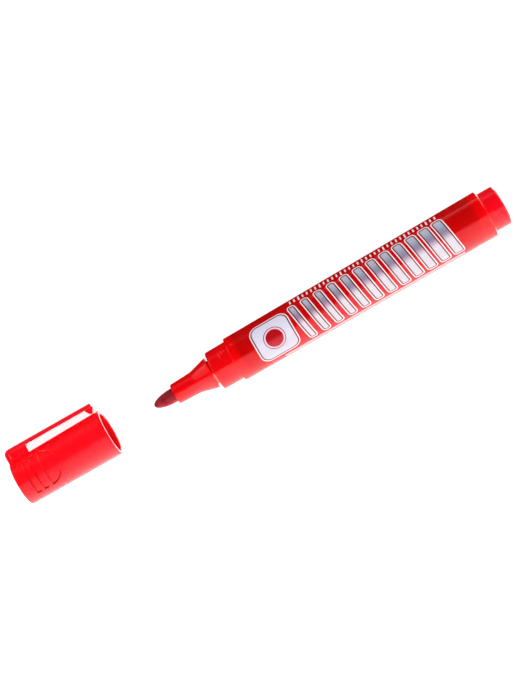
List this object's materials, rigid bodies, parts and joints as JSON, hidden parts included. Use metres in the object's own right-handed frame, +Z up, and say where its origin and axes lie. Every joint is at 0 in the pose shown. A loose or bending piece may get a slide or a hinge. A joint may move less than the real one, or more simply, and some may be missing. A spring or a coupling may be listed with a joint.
{
  "type": "permanent marker",
  "caption": "Permanent marker with a bullet nib, round tapered barrel, rear plug and a pull-off cap with a pocket clip and thumb rests.",
  "frame": {"origin": "centre of the rear plug's flat end face", "axes": "+X along the marker's axis from the rear plug to the nib and on to the cap, +Z up as the marker lies, with the cap's clip leaning on the surface on the -Y side"},
  "size_m": [0.1831, 0.0197, 0.0164],
  "materials": {
    "red_plastic": "satin moulded polypropylene, bright red",
    "printed_film": "glossy deep red film with a silver and white print",
    "nib_fibre": "bonded fibre soaked in red ink, matt and mottled",
    "reservoir_fibre": "fibre soaked in red ink, matt",
    "clear_film": "thin clear film",
    "natural_plastic": "uncoloured moulded polyethylene, satin"
  },
  "bodies": {
    "marker": {"barrel": "red_plastic", "label_film": "printed_film", "rear_plug": "red_plastic", "nozzle": "red_plastic", "nib": "nib_fibre", "ink_reservoir": "reservoir_fibre", "reservoir_film": "clear_film"},
    "cap": {"cap_shell": "red_plastic", "cap_inner_seal": "natural_plastic"}
  },
  "joints": [
    {"name": "cap_slide", "type": "slide", "parent": "marker", "child": "cap", "axis": [-1, 0, 0], "range_m": [0, 0.0472]}
  ]
}
